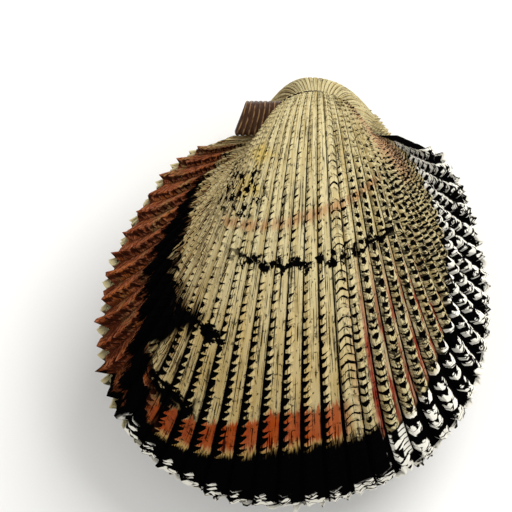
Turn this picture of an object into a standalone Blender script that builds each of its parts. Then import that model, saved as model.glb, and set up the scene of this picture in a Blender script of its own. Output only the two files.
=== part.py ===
"""A closed cockle shell at rest on its lower valve.

Each valve is one thin-walled bowl. Its outside is the path that the margin takes as it shrinks
towards the hinge axis while it turns about it, which is how a bivalve shell grows and what curls
its umbo over. Radial ribs stand on that surface and carry overlapping scales. The two valves
are mirror twins whose ribs interlock, and a dark horny ligament bridges them behind the umbones.
"""

import math

import bmesh
import bpy
import numpy as np

MM = 0.001
GAP = 0.3 * MM

# The margin, as x along the hinge axis and depth below it. The umbo grows from the point 0, 0.
MARGIN = MM * np.array((
    (-16.0, 0.0), (-24.0, 4.2), (-33.6, 15.5), (-40.0, 34.5), (-36.4, 56.0), (-21.4, 68.6),
    (-3.6, 71.0), (13.4, 65.6), (26.2, 52.8), (30.4, 35.0), (27.8, 17.5), (22.0, 5.4), (15.0, 0.0),
))
# The growth law: the logarithm of the size falls with the turn about the hinge axis
FLARE = 0.50
TIGHTENING = 0.085
DOME = 0.77
BEAK_TURN = math.radians(163)
# The young shell was narrower behind its umbo: the rear side widens faster than the rest
REAR_WIDENING = 0.45

RIB_COUNT = 44
RIB_CROWDING = 0.08
RIB_HEIGHT_PER_WIDTH = 0.18
SCALE_LIFT_PER_WIDTH = 0.26
SCALE_STEPS = 10
FIRST_SCALE = 0.057
BEAK_ROWS = 3
SCALE_RAMP = 0.78
SMOOTH_EDGE_RIBS = 1.6
MARGIN_TURN = math.radians(9)

WALL = 2.1 * MM
HINGE_PLATE = 3.6 * MM
CAVITY_CENTRE = MM * np.array((-4.0, 36.0))
CAVITY_TURN = math.radians(95)
CAVITY_ROWS = 7
CAVITY_COLUMNS = 36
CHORD_COLUMNS = 8

LIGAMENT_START = -5.0 * MM
LIGAMENT_END = -14.5 * MM
LIGAMENT_END_SLANT = 0.95 * MM
LIGAMENT_FOOT = 1.0 * MM
LIGAMENT_TOP = 6.5 * MM
LIGAMENT_THICK = 4.4 * MM
LIGAMENT_START_THICK = 1.6 * MM
LIGAMENT_LAMELLAE = 8
LIGAMENT_RELIEF = 0.22 * MM
LIGAMENT_SIDES = 12
# The section's power of sine and cosine: 1 is an ellipse, towards 0 a box
LIGAMENT_ROUNDNESS = 0.55

# How the closed shell lies still: tipped about X with its hinge end up, then about Y
REST_PITCH = math.radians(12.44)
REST_ROLL = math.radians(1.59)

SHELL_CREAM = (0.60, 0.50, 0.26, 1.0)
SHELL_BROWN = (0.45, 0.27, 0.13, 1.0)
HORN = (0.045, 0.018, 0.010, 1.0)


def smooth_curve(points, count):
    """A natural cubic spline through the points, as count points at equal steps along it."""
    steps = np.linalg.norm(np.diff(points, axis=0), axis=1)
    knots = np.concatenate([[0.0], np.cumsum(steps)])
    size = len(points)
    system = np.eye(size)
    right = np.zeros_like(points)
    for i in range(1, size - 1):
        before, after = steps[i - 1], steps[i]
        system[i, i - 1 : i + 2] = before, 2 * (before + after), after
        slope_after = (points[i + 1] - points[i]) / after
        slope_before = (points[i] - points[i - 1]) / before
        right[i] = 6 * (slope_after - slope_before)
    bend = np.linalg.solve(system, right)

    def at(values):
        i = np.clip(np.searchsorted(knots, values, side="right") - 1, 0, size - 2)
        step = steps[i][:, None]
        a = (knots[i + 1] - values)[:, None] / step
        b = 1 - a
        curved = (a**3 - a) * bend[i] + (b**3 - b) * bend[i + 1]
        return a * points[i] + b * points[i + 1] + curved * step**2 / 6

    fine = at(np.linspace(0, knots[-1], 2000))
    length = np.concatenate([[0.0], np.cumsum(np.linalg.norm(np.diff(fine, axis=0), axis=1))])
    even = np.linspace(0, length[-1], count)
    return np.stack([np.interp(even, length, fine[:, k]) for k in (0, 1)], axis=1)


MARGIN_FINE = smooth_curve(MARGIN, 1201)


def margin_at(u):
    """The margin at u, from 0 at the hinge's rear end to 1 at its front end. Ribs crowd near both."""
    share = u - RIB_CROWDING * np.sin(2 * math.pi * u) / (2 * math.pi)
    place = share * (len(MARGIN_FINE) - 1)
    index = np.arange(len(MARGIN_FINE))
    return np.stack([np.interp(place, index, MARGIN_FINE[:, k]) for k in (0, 1)], axis=-1)


def size_at(turn):
    """The size of the growing margin, as a share of the grown one."""
    return np.exp(-(FLARE * turn + TIGHTENING * turn**2))


def swing(across, depth, turn):
    """A point of the margin's plane after it turned about the hinge axis."""
    return np.stack(
        [across, -depth * np.cos(turn), DOME * depth * np.sin(turn)],
        axis=-1,
    )


def width_at(across, u, size):
    """How far to the side a point of the margin lay when the shell had this size."""
    rear = np.clip(1 - 2 * u, 0, 1)
    return across * size ** (1 + REAR_WIDENING * rear)


def smooth_outside(u, turn):
    """The valve's outer surface without ribs."""
    line = margin_at(u)
    size = size_at(turn)
    return swing(width_at(line[..., 0], u, size), size * line[..., 1], turn)


def outward(u, turn):
    """Unit vectors away from the valve: its normals, laid flat where the valve meets its twin."""
    step = 1e-4
    along = smooth_outside(np.clip(u + step, 0, 1), turn) - smooth_outside(np.clip(u - step, 0, 1), turn)
    up = smooth_outside(u, turn + step) - smooth_outside(u, turn - step)
    normal = np.cross(along, up)
    flat = np.clip(turn / MARGIN_TURN, 0, 1)[..., None]
    normal = normal * np.array((1, 1, 0)) + normal * np.array((0, 0, 1)) * flat
    return normal / np.maximum(np.linalg.norm(normal, axis=-1, keepdims=True), 1e-12)


def rib_width(turn):
    """The mean distance from rib to rib at this stage of growth."""
    edge = np.linalg.norm(np.diff(MARGIN_FINE, axis=0), axis=1).sum()
    return size_at(turn) * edge / RIB_COUNT


def growth_rows():
    """Turns from the beak to the margin, each with how far the scales stand up there.

    The steps are even along the middle rib. A scale rises over most of its step and then drops.
    """
    turns = np.linspace(BEAK_TURN, 0, 3000)
    middle = smooth_outside(np.full_like(turns, 0.5), turns)
    length = np.concatenate([[0.0], np.cumsum(np.linalg.norm(np.diff(middle, axis=0), axis=1))])
    edges = np.linspace(FIRST_SCALE, 1, SCALE_STEPS + 1)
    step = edges[1] - edges[0]
    shares = [FIRST_SCALE * k / BEAK_ROWS for k in range(BEAK_ROWS)]
    lifts = [0.0] * BEAK_ROWS
    for edge in edges[1:]:
        shares += [edge - SCALE_RAMP * step, edge]
        lifts += [0.0, 1.0]
    return np.interp(np.array(shares) * length[-1], length, turns), np.array(lifts)


def outside_points(rib_phase):
    """The ribbed outer surface as a grid: one row for each stage of growth, two columns for each rib."""
    columns = 2 * RIB_COUNT + 1
    u = np.linspace(0, 1, columns)
    turns, lifts = growth_rows()
    uu, tt = np.meshgrid(u, turns)
    crest = (np.arange(columns) + rib_phase) % 2
    fade = np.clip(np.minimum(u, 1 - u) * RIB_COUNT / SMOOTH_EDGE_RIBS, 0, 1)
    height = RIB_HEIGHT_PER_WIDTH + SCALE_LIFT_PER_WIDTH * lifts[:, None]
    relief = height * (crest * fade)[None, :] * rib_width(tt)
    points = smooth_outside(uu, tt) + outward(uu, tt) * relief[..., None]
    points[:, [0, -1], 1:] = 0
    return points


def cavity_points():
    """The hollow as closed loops, one for each turn: the margin drawn in by the wall, and a chord
    that leaves the hinge plate standing."""
    turns = np.linspace(0, CAVITY_TURN, CAVITY_ROWS)
    u = np.linspace(0, 1, CAVITY_COLUMNS + 1)
    line = margin_at(u)
    reach = np.linalg.norm(line - CAVITY_CENTRE, axis=1).mean()
    rows = []
    for turn in turns:
        size = size_at(turn)
        inner = CAVITY_CENTRE + (line - CAVITY_CENTRE) * (1 - WALL / (size * reach))
        depth = np.maximum(inner[:, 1] * size, HINGE_PLATE)
        drawn = np.stack([width_at(inner[:, 0], u, size), depth], axis=1)
        share = np.linspace(0, 1, CHORD_COLUMNS + 1)[1:-1, None]
        chord = drawn[-1] + (drawn[0] - drawn[-1]) * share
        loop = np.concatenate([drawn, chord])
        rows.append(swing(loop[:, 0], loop[:, 1], turn))
    return np.array(rows)


def grid_faces(rows, columns, start, closed):
    """Quads between neighbours in a grid of vertices numbered row by row from start."""
    faces = []
    for r in range(rows - 1):
        for c in range(columns if closed else columns - 1):
            d = (c + 1) % columns
            a = start + r * columns
            b = a + columns
            faces.append((a + c, a + d, b + d, b + c))
    return faces


def strip_faces(first, first_shares, second, second_shares):
    """Triangles between two chains of vertices, each with its vertices' shares of the way along."""
    faces = []
    i = j = 0
    while i < len(first) - 1 or j < len(second) - 1:
        step_first = j == len(second) - 1 or (
            i < len(first) - 1 and first_shares[i + 1] <= second_shares[j + 1]
        )
        if step_first:
            faces.append((first[i], first[i + 1], second[j]))
            i += 1
        else:
            faces.append((first[i], second[j + 1], second[j]))
            j += 1
    return faces


def shares_of(points):
    """Each point's share of the way along its chain."""
    length = np.concatenate([[0.0], np.cumsum(np.linalg.norm(np.diff(points, axis=0), axis=1))])
    return length / length[-1]


def valve_mesh(name, side, rib_phase):
    """One valve as a closed mesh: outside, hollow, and the flat rim that faces its twin."""
    outside = outside_points(rib_phase)
    rows, columns = outside.shape[:2]
    hollow = cavity_points()
    loops, around = hollow.shape[:2]
    apex = rows * columns
    hollow_start = apex + 1
    hollow_end = hollow_start + loops * around
    middle = hollow[-1].mean(axis=0)
    points = np.concatenate([outside.reshape(-1, 3), [(0, 0, 0)], hollow.reshape(-1, 3), [middle]])
    points[:, 2] += GAP / 2
    points[:, 2] *= side

    faces = grid_faces(rows, columns, 0, closed=False)
    faces += [(c, c + 1, apex) for c in range(columns - 1)]
    faces += grid_faces(loops, around, hollow_start, closed=True)
    last = hollow_end - around
    faces += [(last + c, last + (c + 1) % around, hollow_end) for c in range(around)]

    margin = [(rows - 1) * columns + c for c in range(columns)]
    inner_margin = [hollow_start + c for c in range(CAVITY_COLUMNS + 1)]
    faces += strip_faces(
        margin, np.linspace(0, 1, columns), inner_margin, np.linspace(0, 1, CAVITY_COLUMNS + 1)
    )
    front = [r * columns + columns - 1 for r in range(rows - 1, -1, -1)]
    rear = [r * columns for r in range(rows)]
    hinge = front + [apex] + rear
    chord = [hollow_start + (CAVITY_COLUMNS + c) % around for c in range(CHORD_COLUMNS + 1)]
    faces += strip_faces(hinge, shares_of(points[hinge]), chord, shares_of(points[chord]))

    mesh = bpy.data.meshes.new(name)
    mesh.from_pydata(points.tolist(), [], faces)
    work = bmesh.new()
    work.from_mesh(mesh)
    bmesh.ops.triangulate(work, faces=work.faces[:])
    bmesh.ops.recalc_face_normals(work, faces=work.faces[:])
    work.to_mesh(mesh)
    work.free()
    return mesh


def ligament_mesh(name):
    """The ligament: a rounded band from the umbones to the hinge's rear end, with cross ripples."""
    rings = 2 * LIGAMENT_LAMELLAE + 1
    along = np.linspace(0, 1, rings)
    ripple = LIGAMENT_RELIEF * (np.arange(rings) % 2)
    thick = LIGAMENT_START_THICK + (LIGAMENT_THICK - LIGAMENT_START_THICK) * np.sqrt(along)
    angle = np.linspace(0, 2 * math.pi, LIGAMENT_SIDES, endpoint=False)
    side = np.sign(np.cos(angle)) * np.abs(np.cos(angle)) ** LIGAMENT_ROUNDNESS
    rise = np.sign(np.sin(angle)) * np.abs(np.sin(angle)) ** LIGAMENT_ROUNDNESS
    middle = (LIGAMENT_TOP + LIGAMENT_FOOT) / 2
    half = (LIGAMENT_TOP - LIGAMENT_FOOT) / 2
    reach = half + ripple[:, None]
    y = middle + rise[None, :] * reach
    z = side[None, :] * (thick[:, None] / 2 + ripple[:, None])
    straight = LIGAMENT_START + (LIGAMENT_END - LIGAMENT_START) * along[:, None]
    x = straight + LIGAMENT_END_SLANT * rise[None, :] * along[:, None]
    points = np.stack([x + 0 * y, y, z], axis=-1).reshape(-1, 3)
    faces = grid_faces(rings, LIGAMENT_SIDES, 0, closed=True)
    faces += [tuple(range(LIGAMENT_SIDES))]
    faces += [tuple(range((rings - 1) * LIGAMENT_SIDES, rings * LIGAMENT_SIDES))]
    mesh = bpy.data.meshes.new(name)
    mesh.from_pydata(points.tolist(), [], faces)
    work = bmesh.new()
    work.from_mesh(mesh)
    bmesh.ops.triangulate(work, faces=work.faces[:])
    bmesh.ops.recalc_face_normals(work, faces=work.faces[:])
    work.to_mesh(mesh)
    work.free()
    return mesh


def material(name, colour, roughness):
    """A plain surface in the piece's own colour."""
    made = bpy.data.materials.new(name)
    made.use_nodes = True
    shader = made.node_tree.nodes["Principled BSDF"]
    shader.inputs["Base Color"].default_value = colour
    shader.inputs["Roughness"].default_value = roughness
    shader.inputs["Metallic"].default_value = 0.0
    return made


def add_piece(collection, mesh, finish):
    piece = bpy.data.objects.new(mesh.name, mesh)
    mesh.materials.append(finish)
    collection.objects.link(piece)
    return piece


def lay_down(pieces, collection):
    """Tip the closed shell as it lies still, and put it down around the origin."""
    rest = bpy.data.objects.new("shell_at_rest", None)
    collection.objects.link(rest)
    for piece in pieces:
        piece.parent = rest
    rest.rotation_euler = (REST_PITCH, REST_ROLL, 0)
    bpy.context.view_layer.update()
    corners = np.concatenate([
        np.array([piece.matrix_world @ vertex.co for vertex in piece.data.vertices])
        for piece in pieces
    ])
    low, high = corners.min(axis=0), corners.max(axis=0)
    rest.location = (-(low[0] + high[0]) / 2, -(low[1] + high[1]) / 2, -low[2])
    bpy.context.view_layer.update()


def main():
    for old in list(bpy.data.objects):
        bpy.data.objects.remove(old)
    collection = bpy.data.collections.new("cockle_shell")
    bpy.context.scene.collection.children.link(collection)
    upper = add_piece(
        collection, valve_mesh("upper_valve", 1, 0), material("upper_shell", SHELL_CREAM, 0.5)
    )
    lower = add_piece(
        collection, valve_mesh("lower_valve", -1, 1), material("lower_shell", SHELL_BROWN, 0.5)
    )
    ligament = add_piece(collection, ligament_mesh("ligament"), material("horn", HORN, 0.35))
    ligament.data.shade_smooth()
    lay_down((upper, lower, ligament), collection)


main()
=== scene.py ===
import math

import bmesh
import bpy
import numpy as np
from bpy.props import FloatProperty, FloatVectorProperty, IntProperty, PointerProperty
from mathutils import Matrix, Vector


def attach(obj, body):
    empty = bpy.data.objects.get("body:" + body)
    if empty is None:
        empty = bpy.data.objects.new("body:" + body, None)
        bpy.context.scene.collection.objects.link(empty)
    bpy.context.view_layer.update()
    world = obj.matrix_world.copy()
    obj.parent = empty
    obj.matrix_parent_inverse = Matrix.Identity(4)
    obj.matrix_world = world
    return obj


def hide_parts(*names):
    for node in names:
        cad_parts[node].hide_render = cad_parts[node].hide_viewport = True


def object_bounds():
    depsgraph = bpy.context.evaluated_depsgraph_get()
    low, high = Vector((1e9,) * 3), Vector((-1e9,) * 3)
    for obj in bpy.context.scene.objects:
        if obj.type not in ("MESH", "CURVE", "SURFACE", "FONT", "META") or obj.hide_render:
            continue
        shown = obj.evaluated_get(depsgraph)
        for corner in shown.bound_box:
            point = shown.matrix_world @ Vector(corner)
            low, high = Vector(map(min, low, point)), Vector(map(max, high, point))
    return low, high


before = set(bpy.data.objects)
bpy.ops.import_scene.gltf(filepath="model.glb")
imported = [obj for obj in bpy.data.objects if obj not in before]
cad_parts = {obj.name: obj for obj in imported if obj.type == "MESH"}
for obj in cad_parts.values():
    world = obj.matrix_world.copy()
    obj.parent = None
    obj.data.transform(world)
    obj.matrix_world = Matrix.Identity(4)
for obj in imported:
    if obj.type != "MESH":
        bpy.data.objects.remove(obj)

bl_info = {
    "name": "Cockle shell",
    "version": (1, 0, 0),
    "blender": (4, 5, 0),
    "location": "View3D > Sidebar > Shell",
    "description": "Builds a closed, scaly-ribbed cockle shell and the light it is seen in",
    "category": "Add Mesh",
}

FRAME_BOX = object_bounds()
MM = 0.001
GAP = 0.3 * MM

# The margin, as x along the hinge axis and depth below it. The umbo grows from the point 0, 0.
MARGIN = MM * np.array((
    (-16.0, 0.0), (-24.0, 4.2), (-33.6, 15.5), (-40.0, 34.5), (-36.4, 56.0), (-21.4, 68.6),
    (-3.6, 71.0), (13.4, 65.6), (26.2, 52.8), (30.4, 35.0), (27.8, 17.5), (22.0, 5.4), (15.0, 0.0),
))
BEAK_TURN = math.radians(163)
MARGIN_TURN = math.radians(9)
CAVITY_CENTRE = MM * np.array((-4.0, 36.0))
CAVITY_TURN = math.radians(95)

# Where the hinge axis and the umbo's start lie when the closed shell is at rest, and its tilt
HINGE_PLACE = MM * np.array((5.182, 30.056, 32.375))
REST_PITCH = math.radians(12.44)
REST_ROLL = math.radians(1.59)

# The photo's own frame: how the shell is tipped in it, where the shell sits, and a pixel's size
VIEW_PITCH = math.radians(12.0)
VIEW_ROLL = math.radians(-2.8)
PHOTO_SIDE = 512
PHOTO_SHELL_MIDDLE = 293.5
PHOTO_SHELL_BOTTOM = 512.0
PIXEL = 0.1905 * MM


def tipped(pitch, roll):
    """The rotation matrix of a pitch about X followed by a roll about Y."""
    about_x = np.array((
        (1, 0, 0),
        (0, math.cos(pitch), -math.sin(pitch)),
        (0, math.sin(pitch), math.cos(pitch)),
    ))
    about_y = np.array((
        (math.cos(roll), 0, math.sin(roll)),
        (0, 1, 0),
        (-math.sin(roll), 0, math.cos(roll)),
    ))
    return about_y @ about_x


def in_light(red, green, blue):
    """A screen colour in bytes as the linear colour that shaders use."""
    shares = np.array((red, green, blue)) / 255
    return tuple(np.where(shares <= 0.04045, shares / 12.92, ((shares + 0.055) / 1.055) ** 2.4))


def colour_property(name, description, red, green, blue):
    return FloatVectorProperty(
        name=name,
        description=description,
        subtype="COLOR",
        size=3,
        min=0.0,
        max=1.0,
        default=in_light(red, green, blue),
    )


class ShellSizes(bpy.types.PropertyGroup):
    """The sizes that shape the shell."""

    ribs: IntProperty(name="Ribs", description="Radial ribs on each valve", default=44, min=8)
    rib_crowding: FloatProperty(
        name="Rib crowding", description="How much closer ribs stand near the hinge", default=0.08
    )
    flare: FloatProperty(
        name="Flare", description="How fast the shell shrinks with each turn at the margin", default=0.50
    )
    tightening: FloatProperty(
        name="Tightening", description="How the shrinking grows towards the umbo", default=0.085
    )
    dome: FloatProperty(name="Dome", description="Depth of a valve against its spiral", default=0.77)
    rear_widening: FloatProperty(
        name="Rear widening", description="How much faster the rear side widened as it grew", default=0.45
    )
    wall: FloatProperty(
        name="Wall", description="Thickness of the shell wall", default=2.1 * MM, unit="LENGTH"
    )
    hinge_plate: FloatProperty(
        name="Hinge plate", description="Width of the plate inside the hinge", default=3.6 * MM,
        unit="LENGTH",
    )
    scale_wall: FloatProperty(
        name="Scale thickness", description="Thickness of a scale's free edge", default=0.24 * MM,
        unit="LENGTH",
    )
    seed: IntProperty(name="Seed", description="Start of the random unevenness", default=7)


class ShellColours(bpy.types.PropertyGroup):
    """The colours of the shell and its ligament, and of the shade painted on the shell."""

    cream: colour_property("Cream", "Pale ground of the ribs", 196, 183, 140)
    tan: colour_property("Tan", "Darker streaks of the ground", 174, 156, 108)
    olive: colour_property("Olive", "Yellow patches below the umbo", 188, 160, 74)
    moss: colour_property("Moss", "Zone inside the rear flank", 150, 128, 80)
    # Blush: pinkish flecks, and the rear scales' pale tips, which are partly a painted highlight.
    blush: colour_property("Blush", "Pale pinkish tips of the rear scales", 168, 108, 76)
    chalk: colour_property("Chalk", "Uncoloured scales at the front and the rim", 240, 236, 222)
    russet: colour_property("Russet", "Rear flank", 132, 64, 36)
    amber: colour_property("Amber", "Orange patches of the rear flank", 156, 84, 36)
    umber: colour_property("Umber", "Brown patches of the rear flank", 96, 44, 24)
    # The flank's dark brown: its own dark marks, and also painted shade in its grooves and under its
    # scales.
    flank_marks_and_shade: colour_property("Flank marks and shade", "Dark marks of the rear flank", 44, 18, 10)
    rose: colour_property("Rose", "Pinkish front shoulder", 176, 128, 98)
    rust: colour_property("Rust", "Late growth band", 158, 66, 20)
    gold: colour_property("Gold", "Ground below the rust band", 186, 150, 80)
    ring: colour_property("Ring", "Faint growth ring", 160, 104, 60)
    blood: colour_property("Red streak", "Streaks on the front ribs", 132, 42, 28)
    # Dusk is near black: mostly painted shade in the grooves, under and between scales, in the dark patch
    # and band and round the beak, and also the dark ring's own colour.
    dusk: colour_property("Dusk", "Grooves and the dark band", 5, 4, 4)
    horn: colour_property("Horn", "Ligament", 58, 36, 22)
    horn_line: colour_property("Horn line", "Pale lines of the ligament", 150, 116, 78)
    floor: colour_property("Floor", "Pale surface below the shell", 243, 242, 239)


def blend_in(low, high, value):
    """A share that rises smoothly from 0 at low to 1 at high."""
    share = np.clip((value - low) / (high - low), 0, 1)
    return share * share * (3 - 2 * share)


class Form:
    """The shell as functions of two shares: u along the margin and growth from beak to margin."""

    def __init__(self, sizes):
        self.sizes = sizes
        self.margin = self.smooth_curve(MARGIN, 1201)
        self.edge = np.linalg.norm(np.diff(self.margin, axis=0), axis=1).sum()
        self.turns = np.linspace(BEAK_TURN, 0, 3000)
        middle = self.smooth_outside(np.full_like(self.turns, 0.5), self.turns)
        self.way = np.concatenate([[0.0], np.cumsum(np.linalg.norm(np.diff(middle, axis=0), axis=1))])
        self.length = self.way[-1]
        self.lie = tipped(REST_PITCH, REST_ROLL)

    @staticmethod
    def smooth_curve(points, count):
        """A natural cubic spline through the points, as count points at equal steps along it."""
        steps = np.linalg.norm(np.diff(points, axis=0), axis=1)
        knots = np.concatenate([[0.0], np.cumsum(steps)])
        size = len(points)
        system = np.eye(size)
        right = np.zeros_like(points)
        for i in range(1, size - 1):
            before, after = steps[i - 1], steps[i]
            system[i, i - 1 : i + 2] = before, 2 * (before + after), after
            slope_after = (points[i + 1] - points[i]) / after
            slope_before = (points[i] - points[i - 1]) / before
            right[i] = 6 * (slope_after - slope_before)
        bend = np.linalg.solve(system, right)
        at = np.linspace(0, knots[-1], 2000)
        i = np.clip(np.searchsorted(knots, at, side="right") - 1, 0, size - 2)
        step = steps[i][:, None]
        a = (knots[i + 1] - at)[:, None] / step
        b = 1 - a
        curved = (a**3 - a) * bend[i] + (b**3 - b) * bend[i + 1]
        fine = a * points[i] + b * points[i + 1] + curved * step**2 / 6
        length = np.concatenate([[0.0], np.cumsum(np.linalg.norm(np.diff(fine, axis=0), axis=1))])
        even = np.linspace(0, length[-1], count)
        return np.stack([np.interp(even, length, fine[:, k]) for k in (0, 1)], axis=1)

    def margin_at(self, u):
        """The margin at u. Its ribs crowd a little near both ends of the hinge."""
        share = u - self.sizes.rib_crowding * np.sin(2 * math.pi * u) / (2 * math.pi)
        place = share * (len(self.margin) - 1)
        index = np.arange(len(self.margin))
        return np.stack([np.interp(place, index, self.margin[:, k]) for k in (0, 1)], axis=-1)

    def size_at(self, turn):
        """The growing margin's size: its logarithm falls with the turn about the hinge axis."""
        return np.exp(-(self.sizes.flare * turn + self.sizes.tightening * turn**2))

    def turn_at(self, growth):
        """The turn at a share of the way along the middle rib, from the beak to the margin."""
        return np.interp(growth * self.length, self.way, self.turns)

    def swing(self, across, depth, turn):
        """A point of the margin's plane after it turned about the hinge axis."""
        return np.stack(
            [across, -depth * np.cos(turn), self.sizes.dome * depth * np.sin(turn)], axis=-1
        )

    def width_at(self, across, u, size):
        """How far to the side a point of the margin lay when the shell had this size."""
        rear = np.clip(1 - 2 * u, 0, 1)
        return across * size ** (1 + self.sizes.rear_widening * rear)

    def smooth_outside(self, u, turn):
        """The valve's outer surface without ribs: the margin, shrunk and turned."""
        line = self.margin_at(u)
        size = self.size_at(turn)
        return self.swing(self.width_at(line[..., 0], u, size), size * line[..., 1], turn)

    def outward(self, u, turn):
        """The surface's normals, laid flat where the valve meets its twin."""
        step = 1e-4
        ahead, behind = np.clip(u + step, 0, 1), np.clip(u - step, 0, 1)
        along = self.smooth_outside(ahead, turn) - self.smooth_outside(behind, turn)
        up = self.smooth_outside(u, turn + step) - self.smooth_outside(u, turn - step)
        normal = np.cross(along, up)
        flat = np.clip(turn / MARGIN_TURN, 0, 1)
        normal[..., 2] *= flat
        return normal / np.maximum(np.linalg.norm(normal, axis=-1, keepdims=True), 1e-12)

    def rib_width(self, growth):
        """The mean distance from rib to rib at this stage of growth."""
        return self.size_at(self.turn_at(growth)) * self.edge / self.sizes.ribs

    def raised(self, u, growth, height):
        """The outer surface lifted by height along its normals."""
        turn = self.turn_at(growth)
        return self.smooth_outside(u, turn) + self.outward(u, turn) * height[..., None]

    def at_rest(self, points, side):
        """Points of a valve, on its own side of the gap, as the closed shell lies at rest."""
        placed = points + np.array((0, 0, GAP / 2))
        placed[..., 2] *= side
        return placed @ self.lie.T + HINGE_PLACE


# How the ribs change from the rear flank over the middle to the front
REAR_END = 0.335
FRONT_START = 0.605
TURNOVER = 0.035
KEEL_CREST = 0.75
# The rear flank's inner bound, as u: on the young shell and at FLANK_START, then rising to REAR_END
YOUNG_BOUND = 0.10
FLANK_BOUND = 0.33
FLANK_START = 0.66
FLANK_SLOPE = 0.8
# The growth lines at which the shell rested: how far out, and how deep a step each one left
RESTS = ((0.413, 0.16 * MM), (0.715, 0.22 * MM), (0.845, 0.16 * MM))
REST_WIDTH = 1.6 * MM
# The width of the smooth strip at each end of the hinge, in ribs
HINGE_STRIP = 1.6


def rear_share(u, growth):
    """1 on the keeled rear flank, which reaches further in on later growth."""
    young = YOUNG_BOUND + (FLANK_BOUND - YOUNG_BOUND) * blend_in(0.45, FLANK_START, growth)
    grown = np.minimum(REAR_END, FLANK_BOUND + FLANK_SLOPE * (growth - FLANK_START))
    bound = np.where(growth < FLANK_START, young, grown)
    return 1 - blend_in(bound - TURNOVER, bound + TURNOVER, u)


def front_share(u):
    return blend_in(FRONT_START - TURNOVER, FRONT_START + TURNOVER, u)


def tent(across, crest):
    """1 at the crest, falling straight to 0 at 0 and 1."""
    return np.minimum(across / crest, (1 - across) / (1 - crest))


def rib_profile(u, growth, across):
    """The rib's section from 0 in its grooves to 1 on its crest, across being 0 to 1 over a rib.

    Rear ribs rise slowly to a hooked keel, middle ribs are broad with narrow grooves. Front ribs
    have a square row for the scales, a lower smooth ledge beside it, and a wide groove.
    """
    keel = np.clip(tent(across, KEEL_CREST), 0, 1) ** 1.4
    broad = blend_in(0.0, 0.17, across) * (1 - blend_in(0.84, 1.0, across))
    square = blend_in(0.0, 0.10, across) * (1 - 0.4 * blend_in(0.58, 0.66, across))
    square = square * (1 - blend_in(0.84, 0.93, across))
    rear, front = rear_share(u, growth), front_share(u)
    return rear * keel + front * square + (1 - rear - front) * broad


def below_shoulder(u):
    """0 on the rear shoulder by the hinge, where keels and spikes stay low, and 1 past it."""
    return blend_in(0.10, 0.21, u)


def rib_rise(u, growth):
    """The rib's height against its width."""
    rear, front = rear_share(u, growth), front_share(u)
    return (0.11 + 0.12 * below_shoulder(u)) * rear + 0.27 * front + 0.19 * (1 - rear - front)


def hinge_fade(u, ribs):
    """Ribs sink into the smooth strip at both ends of the hinge."""
    return np.clip(np.minimum(u, 1 - u) * ribs / HINGE_STRIP, 0, 1)


def rib_height(form, u, growth, phase):
    """Height of the rib relief in metres, with the crest share and the rib count at each point."""
    rib = u * form.sizes.ribs + phase
    across = rib - np.floor(rib)
    fade = hinge_fade(u, form.sizes.ribs)
    crest = rib_profile(u, growth, across) * fade
    height = crest * rib_rise(u, growth) * form.rib_width(growth)
    for place, step in RESTS:
        past = growth - place
        height = height - step * fade * np.exp(-np.abs(past) * form.length / REST_WIDTH) * (past > 0)
    return height, crest, rib


def new_piece(name, points, faces, marks, finish, smooth=True):
    """A mesh object at the origin from arrays, with named point attributes and its material."""
    mesh = bpy.data.meshes.new(name)
    mesh.from_pydata(points.reshape(-1, 3), [], faces)
    for mark, values in marks.items():
        attribute = mesh.attributes.new(mark, "FLOAT", "POINT")
        attribute.data.foreach_set("value", np.ravel(values).astype(np.float32))
    work = bmesh.new()
    work.from_mesh(mesh)
    bmesh.ops.recalc_face_normals(work, faces=work.faces[:])
    work.to_mesh(mesh)
    work.free()
    if smooth:
        mesh.shade_smooth()
    mesh.materials.append(finish)
    piece = bpy.data.objects.new(name, mesh)
    bpy.context.scene.collection.objects.link(piece)
    return piece


def grid_quads(rows, columns, start=0, closed=False):
    """Quads of a grid of vertices numbered row by row from start, as an array."""
    r, c = np.meshgrid(np.arange(rows - 1), np.arange(columns if closed else columns - 1), indexing="ij")
    d = (c + 1) % columns
    a = start + r * columns
    b = a + columns
    return np.stack([a + c, a + d, b + d, b + c], axis=-1).reshape(-1, 4)


def fan(loop, middle):
    """Triangles from each step of a closed loop to one middle vertex."""
    return np.stack([loop, np.roll(loop, -1), np.full_like(loop, middle)], axis=-1)


def ring_strip(first, second):
    """Quads between two closed loops of equally many vertices."""
    return np.stack([first, np.roll(first, -1), np.roll(second, -1), second], axis=-1)


RIB_SAMPLES = np.array((0.0, 0.08, 0.17, 0.30, 0.42, 0.52, 0.62, 0.75, 0.86, 0.93))
GROWTH_ROWS = 176
CAVITY_ROWS = 6
INTERLOCK = 0.30 * MM
INTERLOCK_REACH = 0.035


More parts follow.
